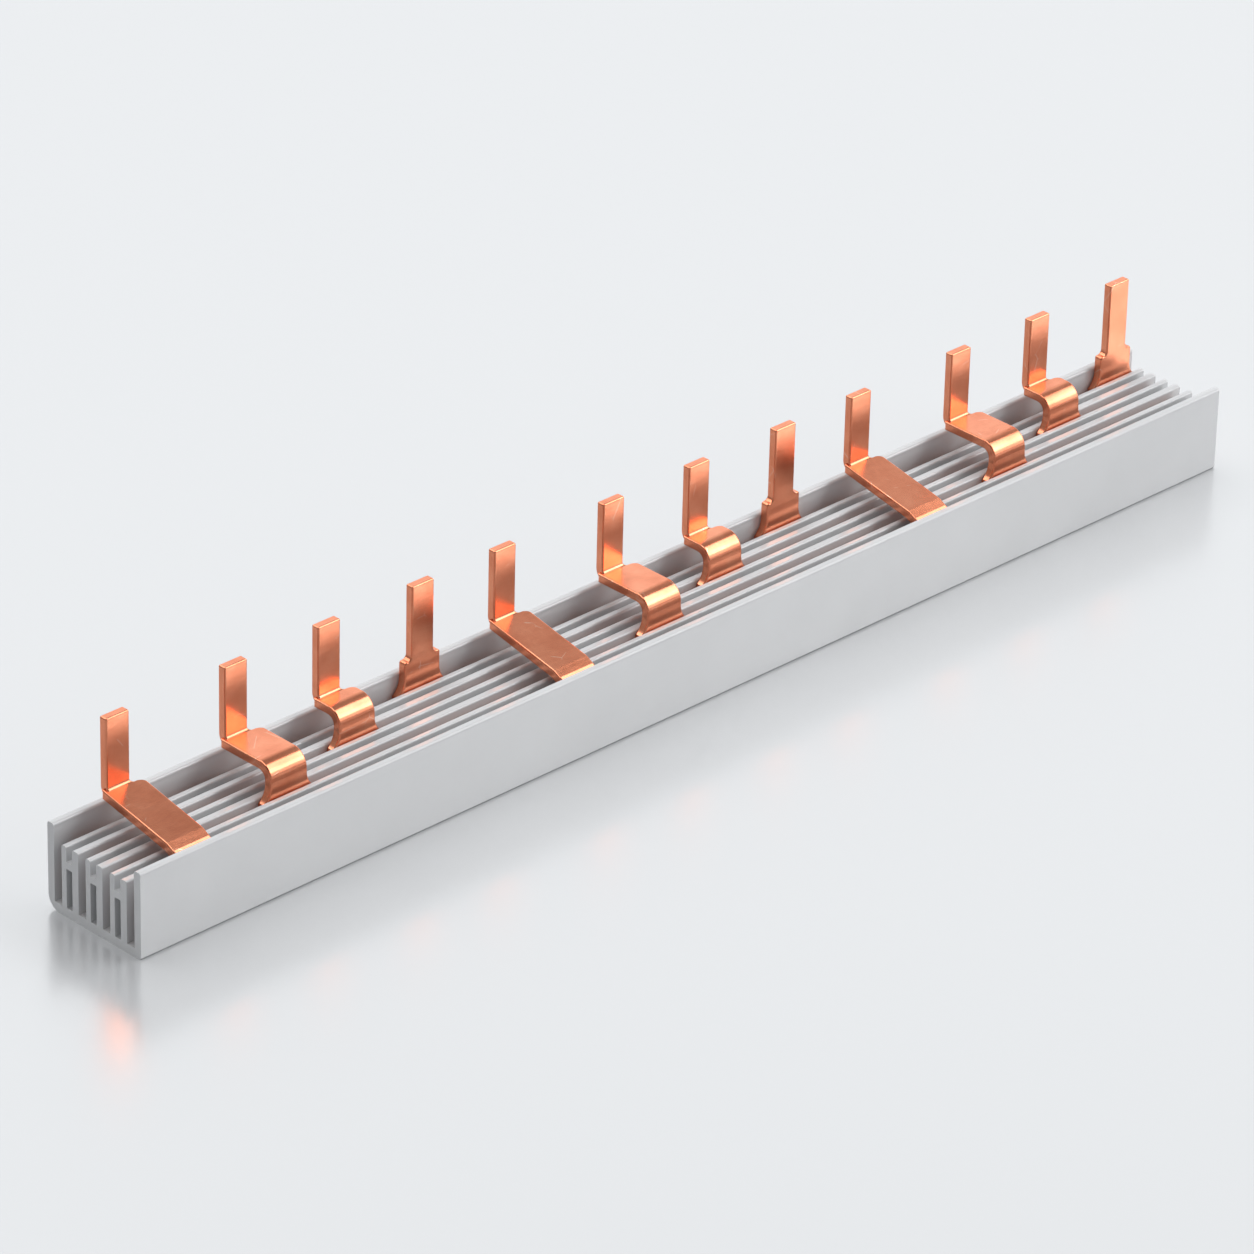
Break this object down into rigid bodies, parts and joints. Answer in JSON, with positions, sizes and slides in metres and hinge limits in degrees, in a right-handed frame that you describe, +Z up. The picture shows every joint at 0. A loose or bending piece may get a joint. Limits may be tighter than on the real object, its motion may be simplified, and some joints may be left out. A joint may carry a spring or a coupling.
{
  "type": "comb busbar",
  "caption": "Comb busbar: copper combs stand on edge in an open plastic trough, and their folded tabs bring all contact pins into one row along its back.",
  "frame": {"origin": "middle of the trough's base, at the bottom centre of the bounding box", "axes": "+X along the busbar, from the end with the first front-channel tab; +Y across it, from the front wall to the back wall under the pins; +Z up, the way the pins point"},
  "size_m": [0.2136, 0.019, 0.0269],
  "materials": {
    "grey_plastic": "satin",
    "copper": "satin"
  },
  "bodies": {
    "root": {"insulating_profile": "grey_plastic", "copper_comb_1": "copper", "copper_comb_2": "copper", "copper_comb_3": "copper", "copper_comb_4": "copper"}
  },
  "joints": []
}
